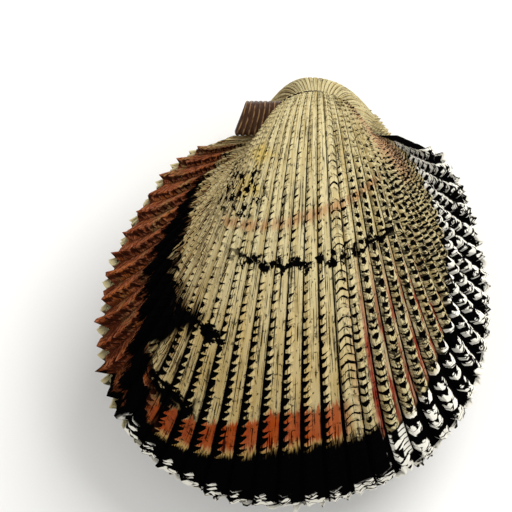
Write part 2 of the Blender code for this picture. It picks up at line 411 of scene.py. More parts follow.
def valve_piece(form, name, side, phase, finish):
    """One valve: its ribbed outside, the flat rim, and the smooth hollow behind it.

    Outside point = margin(u) shrunk by size(turn) and swung by turn about the hinge axis, plus the
    rib relief along the normal. The hollow is the same margin drawn in by the wall.
    """
    ribs = form.sizes.ribs
    u = np.append((np.arange(ribs)[:, None] + (RIB_SAMPLES + phase) % 1.0).ravel(), ribs) / ribs
    u = np.sort(np.append(u, 0.0)) if phase else u
    growth = np.linspace(0, 1, GROWTH_ROWS)
    uu, gg = np.meshgrid(u, growth)
    height, crest, rib = rib_height(form, uu, gg, phase)
    outside = form.raised(uu, gg, height)
    outside[:, [0, -1], 1:] = 0
    wave = np.cos(2 * math.pi * rib) * blend_in(1 - INTERLOCK_REACH, 1, gg) * hinge_fade(uu, ribs)
    outside[..., 2] += side * INTERLOCK * wave
    rows, columns = uu.shape
    apex = rows * columns

    hinge_front = np.arange(rows - 2, -1, -1) * columns + columns - 1
    hinge_rear = np.arange(rows - 1) * columns
    margin_loop = (rows - 1) * columns + np.arange(columns)
    outer_loop = np.concatenate([margin_loop, hinge_front, [apex], hinge_rear])
    flat = np.concatenate([outside.reshape(-1, 3), np.zeros((1, 3))])
    hinge_x = flat[np.concatenate([hinge_front, [apex], hinge_rear]), 0]

    line = form.margin_at(u)
    reach = np.linalg.norm(line - CAVITY_CENTRE, axis=1).mean()
    loops = []
    for turn in np.linspace(0, CAVITY_TURN, CAVITY_ROWS):
        size = form.size_at(turn)
        inner = CAVITY_CENTRE + (line - CAVITY_CENTRE) * (1 - form.sizes.wall / (size * reach))
        depth = np.maximum(inner[:, 1] * size, form.sizes.hinge_plate)
        drawn = np.stack([form.width_at(inner[:, 0], u, size), depth], axis=1)
        share = (hinge_x - line[-1, 0]) / (line[0, 0] - line[-1, 0])
        chord = drawn[-1] + (drawn[0] - drawn[-1]) * share[:, None]
        loop = np.concatenate([drawn, chord])
        loops.append(form.swing(loop[:, 0], loop[:, 1], turn))
    hollow = np.array(loops)
    around = hollow.shape[1]
    hollow_start = apex + 1
    middle = hollow_start + CAVITY_ROWS * around
    points = np.concatenate([flat, hollow.reshape(-1, 3), hollow[-1].mean(axis=0)[None]])

    beak_loop = np.arange(columns)
    fan_faces = np.stack([beak_loop[:-1], beak_loop[1:], np.full(columns - 1, apex)], axis=-1)
    faces = grid_quads(rows, columns).tolist() + fan_faces.tolist()
    faces += ring_strip(outer_loop, hollow_start + np.arange(around)).tolist()
    faces += grid_quads(CAVITY_ROWS, around, hollow_start, closed=True).tolist()
    faces += fan(hollow_start + (CAVITY_ROWS - 1) * around + np.arange(around), middle).tolist()

    inside = len(points) - rows * columns
    marks = {
        "rib": np.append(rib, np.full(inside, 0.5)),
        "around": np.append(uu, np.full(inside, 0.5)),
        "growth": np.append(gg, np.full(inside, 0.99)),
        "crest": np.append(crest, np.full(inside, 1.0)),
        "past": np.full(len(points), 0.5),
        "lower": np.full(len(points), float(side < 0)),
    }
    return new_piece(name, form.at_rest(points, side), faces, marks, finish)


SCALE_ACROSS = np.array((-1.0, -0.62, -0.22, 0.16, 0.50, 1.0))
SCALE_ALONG = np.array((0.0, 0.4, 0.78, 1.0))
# For rear, middle, front and herringbone ribs: spacing, length, tip and lift of a grown scale
SCALE_KINDS = MM * np.array((
    (3.6, 4.6, 2.4, 1.30),
    (2.35, 2.9, 0.95, 0.70),
    (2.8, 3.1, 0.55, 1.20),
    (2.5, 3.2, 1.30, 0.80),
))
SCALE_HALF_WIDTHS = np.array((0.46, 0.40, 0.31, 0.40))
SCALE_SHIFTS = np.array((0.02, -0.04, -0.18, 0.0))
HERRINGBONE = 0.583
HERRINGBONE_REACH = 0.016
REAR_TIP = 0.5
# The growth at which scales start on the upper valve and on the lower one's smoother umbo
FIRST_SCALE = 0.05
LOWER_FIRST_SCALE = 0.17
# Past this growth a scale stands on the margin. The ends of the hinge, in ribs, have no scales
AT_MARGIN = 0.9995
BARE_ENDS = 1.2
SCALE_EMBED = 0.22 * MM
# How far a middle scale's front half sinks into its rib
MIDDLE_SINK = 0.42 * MM
SPIKE = MM * np.array((1.75, 1.45, 1.05, 1.25))
# The uncoloured part of the front starts later on ribs nearer the middle, and its scales lie apart
PALE_PIVOT = 0.57
PALE_SLOPE = 0.75
PALE_SPREAD = 1.1
PALE_SPREAD_RIBS = 0.6
# Spacing and size of the youngest scales against the grown ones
YOUNG_SPACING = 0.34
YOUNG_SIZE = 0.30
SPACING_UNEVENNESS = 0.14


def pale_reach(u, growth):
    """Growth, tilted so that the front's uncoloured part starts at the same value on every rib."""
    return growth + (u - PALE_PIVOT) * PALE_SLOPE


def with_age(size, young):
    """A share that grows with the shell's size, from young at the beak to 1 at the margin."""
    return young + (1 - young) * size


def kind_shares(u, growth):
    """The shares of the rear, middle, front and herringbone kinds of scale."""
    rear, front = rear_share(u, growth), front_share(u)
    bone = np.exp(-(((u - HERRINGBONE) / HERRINGBONE_REACH) ** 2))
    plain = 1 - bone
    return np.stack([rear * plain, (1 - rear - front) * plain, front * plain, bone], axis=-1)


def scale_places(form, side, phase, draw):
    """The growth at each scale's free edge, its rib's middle, and its gap to the scale before.

    The scales of a rib are counted as the sum of 1 / spacing along it. One stands on the margin, and
    the rest follow it, one count apart, with a little unevenness.
    """
    ribs = form.sizes.ribs
    fine = np.linspace(FIRST_SCALE if side > 0 else LOWER_FIRST_SCALE, 1, 600)
    starts, centres, gaps = [], [], []
    for rib in range(ribs + (phase > 0)):
        u = (rib + 0.5 - phase) / ribs
        if not BARE_ENDS / ribs < u < 1 - BARE_ENDS / ribs:
            continue
        spacing = (kind_shares(np.full_like(fine, u), fine) @ SCALE_KINDS[:, 0]) / form.length
        apart = (u > PALE_SPREAD_RIBS) * blend_in(0.84, 0.90, pale_reach(u, fine))
        spacing = spacing * (1 + PALE_SPREAD * apart)
        pace = 1 / (spacing * with_age(form.size_at(form.turn_at(fine)), YOUNG_SPACING))
        count = np.concatenate([[0.0], np.cumsum((pace[1:] + pace[:-1]) / 2 * np.diff(fine))])
        number = int(count[-1])
        places = np.interp(count[-1] - np.arange(number), count, fine)
        places[1:] += draw.normal(0, SPACING_UNEVENNESS, number - 1) / np.interp(places[1:], fine, pace)
        starts.append(places)
        centres.append(np.full(number, u))
        gaps.append(places - np.append(places[1:], places[-1] - 1 / pace[0]))
    return (np.concatenate(part) for part in (starts, centres, gaps))


def plate_faces(rows, columns, total):
    """The quads of closed plates, each with an upper and a lower layer of rows by columns."""
    layer = rows * columns
    upper = grid_quads(rows, columns)
    lower = upper[:, ::-1] + layer
    index = np.arange(layer).reshape(rows, columns)
    rim = np.concatenate([index[0, :-1], index[:-1, -1], index[-1, :0:-1], index[:0:-1, 0]])
    plate = np.concatenate([upper, lower, ring_strip(rim, rim + layer)])
    return (plate[None] + (np.arange(total) * 2 * layer)[:, None, None]).reshape(-1, 4)


def scales_piece(form, name, side, phase, finish):
    """All the scales of one valve as closed curved plates, each rooted in its rib.

    A scale is a grid over its rib, from across -1 to 1 and along 0 to 1. It follows the rib's
    section and lifts with the power 1.7 of along. Its free edge reaches further by a tip: skewed
    and pointed at the rear, slanted in the middle, nearly square at the front, forked between.
    """
    draw = np.random.default_rng(form.sizes.seed + (side < 0))
    ends, centre, gap = scale_places(form, side, phase, draw)
    total = len(ends)
    shares = kind_shares(centre, ends)
    kind = shares @ SCALE_KINDS
    scale = with_age(form.size_at(form.turn_at(ends)), YOUNG_SIZE) * draw.uniform(0.85, 1.15, total)
    length, tip, lift = (kind[:, k] * scale for k in (1, 2, 3))
    half = (shares @ SCALE_HALF_WIDTHS) * draw.uniform(0.92, 1.08, total)
    shift = shares @ SCALE_SHIFTS + draw.normal(0, 0.015, total)
    last = ends > AT_MARGIN
    tip = np.where(last, 0, tip)
    spike = shares @ SPIKE * (1 - 0.75 * shares[:, 0] * (1 - below_shoulder(centre)))
    lift = np.where(last, spike * draw.uniform(0.8, 1.15, total), lift)

    a = SCALE_ACROSS[None, None, :]
    b = SCALE_ALONG[None, :, None]
    skewed = tent((a + 1) / 2, (REAR_TIP + 1) / 2)
    slanted = ((1 - a) / 2) ** 1.4
    ragged = 0.5 + 0.5 * draw.uniform(-1, 1, (total, 1, len(SCALE_ACROSS)))
    forked = np.abs(a) ** 1.1
    weights = shares.T[:, :, None, None]
    free_edge = (weights * np.stack(np.broadcast_arrays(skewed, slanted, ragged, forked))).sum(axis=0)
    reach = length[:, None, None] * b + tip[:, None, None] * b**1.5 * free_edge
    growth = ends[:, None, None] + (reach - length[:, None, None]) / form.length
    edge_before = ends[:, None, None] - gap[:, None, None] + tip[:, None, None] * free_edge / form.length
    past = (growth - edge_before) / gap[:, None, None]
    growth = np.clip(growth, 0, 1)
    u = centre[:, None, None] + (a * half[:, None, None] + shift[:, None, None]) / form.sizes.ribs + 0 * b
    ribbed, crest, rib = rib_height(form, u, growth, phase)
    raised = np.stack(np.broadcast_arrays(
        0.2 + 0.8 * skewed, 0.25 + 0.75 * slanted, 1 - 0.6 * np.abs(a) ** 2, 0.4 + 0.6 * forked
    ))
    side_lift = (weights * raised).sum(axis=0)
    curl = 1 + last[:, None, None] * 0.5 * draw.uniform(-1, 1, (total, 1, len(SCALE_ACROSS)))
    sunk = (shares[:, 1] * ~last)[:, None, None] * blend_in(-0.3, 0.5, a) * MIDDLE_SINK
    rise = lift[:, None, None] * b**1.7 * side_lift * curl - SCALE_EMBED * (1 - b) ** 2 - sunk
    thick = form.sizes.scale_wall * (0.5 + 0.5 * scale[:, None, None]) * (1.5 - 0.5 * b)
    top = form.raised(u, growth, ribbed + rise)
    bottom = form.raised(u, growth, ribbed + rise - thick)
    points = np.stack([top, bottom], axis=1)

    rows, columns = len(SCALE_ALONG), len(SCALE_ACROSS)
    faces = plate_faces(rows, columns, total)

    def both(values):
        return np.broadcast_to(values[:, None], (total, 2, rows, columns))

    marks = {
        "rib": both(rib),
        "around": both(u),
        "growth": both(growth),
        "crest": both(np.maximum(crest, 0.35)),
        "past": both(past),
        "lower": np.full((total, 2, rows, columns), float(side < 0)),
    }
    return new_piece(name, form.at_rest(points, side), faces.tolist(), marks, finish, smooth=False)


LIGAMENT_START = -5.0 * MM
LIGAMENT_END = -14.8 * MM
LIGAMENT_SLANT = 0.95 * MM
LIGAMENT_FOOT = 0.1 * MM
LIGAMENT_TOP = 6.6 * MM
LIGAMENT_THICK = 4.6 * MM
LIGAMENT_START_THICK = 1.7 * MM
LIGAMENT_FLATNESS = 0.55
LIGAMENT_END_DRAW = 0.22
LIGAMENT_LINES = 10
RIPPLE_DEPTH = 0.16 * MM
LIGAMENT_RINGS = 120
LIGAMENT_SIDES = 56


def ligament_piece(form, name, finish):
    """The ligament: a rounded band from the umbones to the hinge's rear end.

    Its section is a superellipse in depth and thickness. Fine ripples cross it, each a raised
    cosine that sways a little from top to foot, and both ends are drawn in to a rounded edge.
    """
    along = np.linspace(0, 1, LIGAMENT_RINGS)[:, None]
    angle = np.linspace(0, 2 * math.pi, LIGAMENT_SIDES, endpoint=False)[None, :]
    across = np.sign(np.cos(angle)) * np.abs(np.cos(angle)) ** LIGAMENT_FLATNESS
    rise = np.sign(np.sin(angle)) * np.abs(np.sin(angle)) ** LIGAMENT_FLATNESS
    ends = 1 - LIGAMENT_END_DRAW * (1 - np.sqrt(1 - (2 * np.abs(along - 0.5)) ** 24))
    sway = 0.10 * np.sin(2.3 * rise + 1.0) + 0.05 * np.sin(5.1 * rise + 9 * along)
    phase = along * LIGAMENT_LINES + sway
    ripple = 0.5 - 0.5 * np.cos(2 * math.pi * phase)
    thick = LIGAMENT_START_THICK + (LIGAMENT_THICK - LIGAMENT_START_THICK) * np.sqrt(along)
    middle = (LIGAMENT_TOP + LIGAMENT_FOOT) / 2
    half = (LIGAMENT_TOP - LIGAMENT_FOOT) / 2
    sunk = RIPPLE_DEPTH * (1 - ripple**0.6)
    y = middle + rise * (half * ends - sunk)
    z = across * (thick / 2 * ends - sunk)
    x = LIGAMENT_START + (LIGAMENT_END - LIGAMENT_START) * along + LIGAMENT_SLANT * rise * along
    points = np.stack([x + 0 * y, y, z - GAP / 2], axis=-1)
    faces = grid_quads(LIGAMENT_RINGS, LIGAMENT_SIDES, closed=True).tolist()
    last = (LIGAMENT_RINGS - 1) * LIGAMENT_SIDES
    first_middle = LIGAMENT_RINGS * LIGAMENT_SIDES
    faces += fan(np.arange(LIGAMENT_SIDES), first_middle).tolist()
    faces += fan(last + np.arange(LIGAMENT_SIDES), first_middle + 1).tolist()
    flat = np.concatenate([points.reshape(-1, 3), points[[0, -1]].mean(axis=1)])
    marks = {
        "line": np.append(phase, (0.0, LIGAMENT_LINES)),
        "rise": np.append(rise + 0 * phase, (0.0, 0.0)),
    }
    return new_piece(name, form.at_rest(flat, 1), faces, marks, finish)


class Shade:
    """A shader value. Arithmetic on it adds Math nodes, and node() adds any other kind."""

    def __init__(self, tree, socket=None):
        self.tree = tree
        self.socket = socket

    def node(self, kind, settings=None, sockets=None, output=0):
        """Adds a node of this kind: its settings first, then its sockets' values or links."""
        made = self.tree.nodes.new(kind)
        for setting, value in (settings or {}).items():
            setattr(made, setting, value)
        for key, value in (sockets or {}).items():
            if isinstance(value, Shade):
                self.tree.links.new(value.socket, made.inputs[key])
            else:
                made.inputs[key].default_value = value
        return Shade(self.tree, made.outputs[output])

    def math(self, operation, *values):
        return self.node("ShaderNodeMath", {"operation": operation}, dict(enumerate(values)))

    def __add__(self, other):
        return self.math("ADD", self, other)

    __radd__ = __add__

    def __sub__(self, other):
        return self.math("SUBTRACT", self, other)

    def __rsub__(self, other):
        return self.math("SUBTRACT", other, self)

    def __mul__(self, other):
        return self.math("MULTIPLY", self, other)

    __rmul__ = __mul__

    def __abs__(self):
        return self.math("ABSOLUTE", self)

    def positive(self):
        """The value, or 0 where it is negative."""
        return self.math("MAXIMUM", self, 0.0)

    def fraction(self):
        """What the value has above the whole number below it."""
        return self - self.math("FLOOR", self)

    def rising(self, low, high):
        """0 below low, 1 above high, smooth between."""
        return self.node(
            "ShaderNodeMapRange",
            {"interpolation_type": "SMOOTHSTEP"},
            {"Value": self, "From Min": low, "From Max": high},
        )

    def falling(self, low, high):
        """1 below low, 0 above high, smooth between."""
        return 1 - self.rising(low, high)

    def near(self, middle, full, none):
        """1 up to the distance full from middle, 0 past the distance none, smooth between."""
        return abs(self - middle).falling(full, none)

    def mark(self, name):
        """A named point attribute of the piece."""
        return self.node("ShaderNodeAttribute", {"attribute_name": name}, output=2)

    def place(self, x, y, z=0.0):
        """A vector from three values."""
        return self.node("ShaderNodeCombineXYZ", None, {0: x, 1: y, 2: z})

    def noise(self, where, detail=2.0, roughness=0.5, distortion=0.0):
        """Noise from 0 to 1 at a vector."""
        return self.node(
            "ShaderNodeTexNoise",
            {"noise_dimensions": "3D"},
            {"Vector": where, "Scale": 1.0, "Detail": detail, "Roughness": roughness,
             "Distortion": distortion},
        )

    def tint(self, first, second):
        """The first colour turning into the second by this share."""
        def full(colour):
            return colour if isinstance(colour, Shade) else (*colour, 1.0)

        return self.node(
            "ShaderNodeMix",
            {"data_type": "RGBA", "clamp_factor": True},
            {0: self, 6: full(first), 7: full(second)},
            output=2,
        )

    def bump(self, distance, strength):
        """A surface direction from this height."""
        return self.node(
            "ShaderNodeBump", None, {"Height": self, "Distance": distance, "Strength": strength}
        )

    def wire(self, shader, socket):
        """Feeds this value to a socket of the shader."""
        self.tree.links.new(self.socket, shader.inputs[socket])


def blank_material(name):
    """An empty material with its shader and a Shade to build on."""
    made = bpy.data.materials.new(name)
    made.use_nodes = True
    tree = made.node_tree
    return made, tree.nodes["Principled BSDF"], Shade(tree)


# Where the markings and the painted shade start, or lie, as a share of growth
FAINT_RING = 0.342
DARK_RING = 0.412
FLANK_COLOUR = 0.655
FLANK_SHADE = 0.585
FLANK_SHADE_END = 0.830
RUST_SIDE_SHADE = 0.638
RUST_BAND = 0.700
GOLD_BAND = 0.772
SHADE_BAND = 0.792
PALE_RIM = 0.950
BEAK_OUTLINE_SHADE = 0.042
# Where the markings and the painted shade end, or lie, as a share of the way around the margin
RUST_BAND_FRONT = 0.56
SHADE_BAND_FRONT = 0.607
WHITE_RIB = 0.6245
PALE_RIM_REAR = 0.332
FLANK_SHADE_FRONT = 0.304
# Single marks and patches of painted shade: their middle around and along growth, and how fast
# they fade each way
YELLOW_PATCHES = ((0.394, 0.218, 20, 36), (0.381, 0.290, 22, 40))
SHADE_SPLASHES = ((0.31, 0.31, 9, 12), (0.395, 0.30, 14, 12))
SHADE_BLOTCH = (0.392, 0.588, 30, 22)


class MarkingPlan:
    """What the shell's markings are laid out by: its marks, some noises, and the zones.

    Around and growth are the shares along the margin and from beak to margin, and across is 0 to 1
    over a rib. Crest is 0 in a groove and 1 on a rib's crest. Past is 0 under the free edge of the
    scale before and 1 on a scale's own free edge. Lower is 1 on the lower valve. A zone is 1 inside,
    0 outside and torn or smooth between. Ink is the colour of the fine dark marks and also of the
    painted shade in grooves and under scales, and inked is the zone of the fine marks.
    """

    def __init__(self, shade, colours):
        self.shade = shade
        self.colours = colours
        self.rib, self.around, self.growth = (shade.mark(name) for name in ("rib", "around", "growth"))
        self.crest, self.past, self.lower = (shade.mark(name) for name in ("crest", "past", "lower"))
        self.across = self.rib.fraction()
        self.add_noises()
        self.add_kinds()
        self.add_bands()
        self.add_rear()
        # The near black of the fine marks and of the painted shade, dark brown on the rear flank.
        ink_brown = self.flank * (1 - self.flank_shade) * (1 - self.shade_band)
        self.ink_and_shade = ink_brown.tint(colours.dusk, colours.flank_marks_and_shade)
        self.inked = 1 - (self.rim + self.pale).rising(0.2, 0.8)

    def noise(self, by_rib, by_growth, layer, **kind):
        """A noise with its own pace from rib to rib and along growth."""
        place = self.shade.place(self.rib * by_rib, self.growth * by_growth, layer)
        return self.shade.noise(place, **kind)

    def add_noises(self):
        wide = self.shade.place(self.around * 26, self.growth * 9)
        self.drift = self.shade.noise(wide, detail=3.0) - 0.5
        self.streak = self.noise(2.6, 7, 3.0, detail=3.0)
        self.fine = self.noise(11, 16, 7.0)
        self.hair = self.noise(13, 8, 1.0, roughness=0.6)
        self.fleck = self.noise(5, 95, 5.0)
        self.patch = self.noise(0.9, 22, 9.0)
        self.blot = self.noise(1.7, 60, 4.0, detail=3.0)
        self.curls = self.noise(1.3, 62, 12.0, detail=1.0, distortion=1.2).near(0.5, 0.022, 0.055)

    def add_kinds(self):
        """The zones of the kinds of rib, and the uncoloured part of the front."""
        around, growth = self.around, self.growth
        self.front = around.rising(FRONT_START - TURNOVER, FRONT_START + TURNOVER)
        self.bone = around.near(HERRINGBONE, 0.006, 0.022)
        self.on_flank = around.falling(0.30, 0.36) * growth.rising(0.56, 0.66)
        self.middle = (1 - self.front) * (1 - self.on_flank) * (1 - self.bone)
        self.reach = pale_reach(around, growth) + self.drift * 0.05
        self.pale = self.reach.rising(0.86, 0.885) * around.rising(0.555, 0.575)

    def add_bands(self):
        """Bands of the last growth, nearer the margin at the rear, torn; the dark band is painted shade."""
        around, growth, hair, streak = self.around, self.growth, self.hair, self.streak
        lowered = growth - (0.5 - around).positive() * 0.90
        self.torn = lowered + (hair - 0.5) * 0.08 + (streak - 0.5) * 0.03
        in_band = around.falling(RUST_BAND_FRONT, RUST_BAND_FRONT + 0.025)
        rusty = self.torn.rising(RUST_BAND, RUST_BAND + 0.012)
        golden = self.torn.rising(GOLD_BAND, GOLD_BAND + 0.028)
        self.rust = rusty * (1 - golden) * in_band
        self.gold = golden * in_band
        dark_from = self.torn + (self.patch - 0.5) * 0.03
        front_end = around + (hair - 0.5) * 0.012
        rear_end = around + growth * 0.5 + (hair - 0.5) * 0.05
        # The dark band: near-black painted shade where the dome turns steeply down to the margin, over what
        # is likely a brown band there.
        shade_band = dark_from.rising(SHADE_BAND, SHADE_BAND + 0.016)
        shade_band = shade_band * front_end.falling(SHADE_BAND_FRONT, SHADE_BAND_FRONT + 0.004)
        self.shade_band = shade_band * rear_end.rising(0.738, 0.750)
        rim_from = around + (streak - 0.5) * 0.03
        at_rim = rim_from.rising(PALE_RIM_REAR, PALE_RIM_REAR + 0.008) + self.lower * 0.8
        self.rim = growth.rising(PALE_RIM, PALE_RIM + 0.012) * at_rim

    def add_rear(self):
        """The rear flank's colour, and the near-black patch of painted shade along its inner side."""
        around, growth, hair, drift = self.around, self.growth, self.hair, self.drift
        inward = (around - 0.27).positive()
        flank_from = growth - inward * 2.3 + (hair - 0.5) * 0.12 + drift * 0.16
        flank = flank_from.rising(FLANK_COLOUR, FLANK_COLOUR + 0.045)
        self.flank = flank * around.falling(0.33, 0.40) * around.rising(0.02, 0.05)
        # The dark patch is painted shade: a near-black crescent over the russet of the flank's inner side.
        frayed = (hair - 0.5) * 0.22 + drift * 0.20 + (self.patch - 0.5) * 0.06
        starts_at = growth - (0.20 - around).positive() * 0.9 + frayed
        ends_at = growth + (0.30 - around).positive() * 0.55 - inward * 2.5 - frayed
        inner_side = around - abs(growth - 0.765) * 0.36 + (self.streak - 0.5) * 0.05
        flank_shade = starts_at.rising(FLANK_SHADE, FLANK_SHADE + 0.015)
        flank_shade = flank_shade * ends_at.falling(FLANK_SHADE_END, FLANK_SHADE_END + 0.015)
        flank_shade = flank_shade * inner_side.falling(FLANK_SHADE_FRONT, FLANK_SHADE_FRONT + 0.010)
        self.flank_shade = flank_shade * around.rising(0.07, 0.11)

    def away(self, around, growth, fade_around, fade_growth):
        """The distance from a place on the shell, in its own fades."""
        return abs(self.around - around) * fade_around + abs(self.growth - growth) * fade_growth


def rib_ground(plan):
    """Cream ribs with tan streaks, warmer on late growth, two yellow patches, a mossy zone at the rear."""
    colours, around, hair = plan.colours, plan.around, plan.hair
    ground = plan.streak.rising(0.40, 0.66).tint(colours.cream, colours.tan)
    mellow = plan.growth.rising(0.36, 0.62) * (0.45 + plan.drift) * around.falling(0.52, 0.64)
    ground = (mellow * 0.8).tint(ground, colours.gold)
    high, low = ((plan.away(*patch) + plan.drift * 1.4).falling(0.5, 1.4) for patch in YELLOW_PATCHES)
    ground = ((high + low) * 0.6).tint(ground, colours.olive)
    inner_rear = (around + plan.drift * 0.10).falling(0.31, 0.41)
    ground = (inner_rear * 0.55).tint(ground, colours.moss)
    ground = (inner_rear * hair.rising(0.53, 0.58) * 0.8).tint(ground, colours.cream)
    return (inner_rear * hair.falling(0.43, 0.48) * 0.75).tint(ground, colours.umber)


def faint_ring(plan, ground):
    """A faint ring across the ribs, nearer the beak towards the front."""
    line = plan.growth + (plan.around - 0.479) * 0.245 + plan.drift * 0.014 + (plan.fine - 0.5) * 0.02
    ring = line.near(FAINT_RING, 0.002, 0.018) * plan.around.rising(0.32, 0.37)
    ring = ring * plan.around.falling(0.66, 0.74) * plan.streak.rising(0.28, 0.5)
    return (ring * 0.6).tint(ground, plan.colours.ring)


def front_colours(plan, ground):
    """A rosy shoulder, red streaks on the ledges, and white scales in painted shade where colour ends."""
    colours, growth, streak = plan.colours, plan.growth, plan.streak
    shoulder = (plan.around - growth * 0.44 + plan.drift * 0.10).rising(0.61, 0.70)
    shoulder = shoulder * growth.falling(0.40, 0.62)
    ground = (shoulder * 0.7 * (1 - plan.lower)).tint(ground, colours.rose)
    ledge = plan.across.rising(0.58, 0.64) * plan.around.rising(0.575, 0.61)
    redness = growth.rising(0.36, 0.62) * streak.rising(0.30, 0.52) * plan.reach.falling(0.84, 0.95)
    red = streak.rising(0.50, 0.64).tint(colours.blood, colours.rose)
    red = (plan.hair.falling(0.40, 0.46) * 0.8).tint(red, colours.umber)
    ground = (ledge * redness).tint(ground, red)
    # The white scales' free edges, with painted shade under them, in the grooves and in dark curls.
    row = (1 - plan.front * plan.across.rising(0.58, 0.63)) * plan.past.rising(0.50, 0.58)
    return plan.pale.tint(ground, (row * (1 - plan.curls)).tint(colours.dusk, colours.chalk))


def late_bands(plan, ground):
    """The gold and rust bands, with patches of painted shade on the beak's side of the rust band's rear
    end.
    """
    colours, sway = plan.colours, plan.patch - 0.5
    ground = (plan.gold * 0.85).tint(ground, colours.gold)
    rusty = (plan.streak.rising(0.50, 0.60) * 0.5).tint(colours.rust, colours.blood)
    ground = (plan.rust * (0.95 + plan.drift * 0.5)).tint(ground, rusty)
    # Near-black painted shade between the rust spots on the beak's side of the band.
    rust_side_shade = (plan.torn + sway * 0.16).rising(RUST_SIDE_SHADE, RUST_SIDE_SHADE + 0.010)
    rust_side_shade = rust_side_shade * plan.torn.falling(RUST_BAND, RUST_BAND + 0.012)
    rust_side_shade = rust_side_shade * (plan.around + sway * 0.10).falling(0.39, 0.41) * plan.blot.rising(0.30, 0.38)
    return rust_side_shade.tint(ground, colours.dusk)


def flank_colours(plan, ground):
    """The russet rear flank: amber, brown and mossy patches, pale scale tips and curved dark lines.
    The pale tips are partly a painted highlight on the scales' raised free edges.
    """
    colours, flank = plan.colours, plan.flank
    flesh = plan.fine.rising(0.38, 0.60).tint(colours.umber, colours.russet)
    flesh = (plan.streak.rising(0.50, 0.62) * 0.75).tint(flesh, colours.amber)
    flesh = (plan.fleck.rising(0.54, 0.66) * 0.6).tint(flesh, colours.blush)
    flesh = (plan.drift.rising(0.02, 0.14) * 0.55).tint(flesh, colours.moss)
    ground = (flank * 0.96).tint(ground, flesh)
    # Pale pinkish free edges of the rear scales: partly their colour, partly a painted highlight.
    ground = (flank * plan.past.rising(0.80, 0.98) * 0.6).tint(ground, colours.blush)
    curve = plan.growth * 115 + plan.drift * 5 + plan.fine * 1.5
    curved = curve.fraction().near(0.5, 0.06, 0.20) * plan.blot.rising(0.42, 0.52)
    return (flank * curved * 0.85).tint(ground, colours.flank_marks_and_shade)


def painted_shade_areas(plan, ground):
    """Painted shade: the near-black patch inside the rear flank and the band along the margin."""
    ground = plan.flank_shade.tint(ground, plan.colours.dusk)
    return plan.shade_band.tint(ground, plan.colours.dusk)


def white_areas(plan, ground):
    """The feathered white rib beside the dark band, the chalky rim with painted shade under and between
    its scales, and the lower valve's cream rim.
    """
    colours = plan.colours
    feather = plan.growth * 58 - abs(plan.across - 0.5) * 1.2 + (plan.blot - 0.5) * 0.6
    feathered = feather.fraction().near(0.5, 0.10, 0.16).tint(colours.chalk, colours.dusk)
    white_rib = plan.around.near(WHITE_RIB, 0.0105, 0.0125) * plan.reach.rising(0.885, 0.890)
    ground = white_rib.tint(ground, feathered)
    # The rim's chalky scale edges, with painted shade under them and in dark curls.
    curled = (plan.past.rising(0.50, 0.58) * (1 - plan.curls)).tint(colours.dusk, colours.chalk)
    ground = plan.rim.tint(ground, curled)
    twin_rim = plan.lower * plan.around.falling(0.33, 0.38) * plan.growth.rising(0.930, 0.945)
    return twin_rim.tint(ground, colours.cream)


def fine_ink(plan, ground):
    """Thin dark lines along the ribs, and dots."""
    lines = (plan.hair + (plan.blot - 0.5) * 0.25).falling(0.39, 0.45)
    ground = (lines * plan.crest * plan.inked * 0.9).tint(ground, plan.ink_and_shade)
    dots = plan.fleck.falling(0.34, 0.40) * plan.growth.rising(0.02, 0.06)
    return (dots * plan.inked * 0.75).tint(ground, plan.ink_and_shade)


def scale_shadows(plan, ground):
    """A dark wedge under each scale's free edge, shaped by the kind of rib, and curls at the front."""
    around, growth, across, lower = plan.around, plan.growth, plan.across, plan.lower
    hollow = 1 - abs(across - 0.34) * 2.6
    arch = (hollow * 0.52).positive()
    arch = arch + across.falling(0.60, 0.66) * (0.26 + around.rising(0.66, 0.74) * 0.12)
    deep = 0.5 + growth.rising(0.46, 0.70) * (0.24 + around.falling(0.40, 0.56) * 0.36)
    wedge = plan.middle * across.falling(0.05, 0.46 + growth * 0.30) * deep + plan.front * arch
    wedge = wedge + plan.on_flank * (1 - abs(across - 0.62) * 1.8) * 0.60 + plan.bone * 0.36
    off_crown = 1 - lower * growth.falling(0.20, 0.34)
    wedge = wedge * growth.rising(0.04, 0.34) * off_crown + (plan.blot - 0.5) * 0.35 * off_crown
    ground = (wedge - plan.past).rising(0.0, 0.05).tint(ground, plan.ink_and_shade)
    fretted = plan.front * across.falling(0.58, 0.64) * growth.rising(0.20, 0.42) * plan.inked
    return (fretted * plan.curls * 0.9).tint(ground, plan.colours.dusk)


def dark_ring(plan, ground):
    """A ragged dark ring of blots from the rear flank to the front ribs."""
    line = plan.growth + (plan.around - 0.56) * 0.06 + (plan.hair - 0.5) * 0.022 + (plan.patch - 0.5) * 0.03
    width = (plan.blot - 0.40) * 0.09
    ring = (width - abs(line - DARK_RING)).rising(0.0, 0.004) * plan.around.rising(0.36, 0.42)
    return (ring * plan.around.falling(0.68, 0.73)).tint(ground, plan.colours.dusk)


def groove_shade(plan, ground):
    """Painted shade in grooves, wider on late growth, and a painted shadow line on each keel's front side.
    """
    around = plan.around
    late = plan.growth.rising(0.45, 0.80) * plan.middle * (0.30 + around.falling(0.40, 0.52) * 0.25)
    late = late + plan.rust * 0.3
    # The grooves' own darker colour, deepened to near black by painted shade.
    groove = (plan.crest + (plan.blot - 0.5) * 0.4 - late * 0.7).falling(0.16, 0.46 - 0.10 * plan.front)
    ribbed = around.rising(0.012, 0.04) * around.falling(0.96, 0.988)
    ground = (groove * ribbed * (1 - plan.flank * 0.35)).tint(ground, plan.ink_and_shade)
    # A painted shadow line where each rear keel falls steeply away.
    keel_shadow = plan.on_flank * plan.across.near(0.83, 0.03, 0.08) * plan.blot.rising(0.36, 0.46)
    return (keel_shadow * 0.9).tint(ground, plan.ink_and_shade)


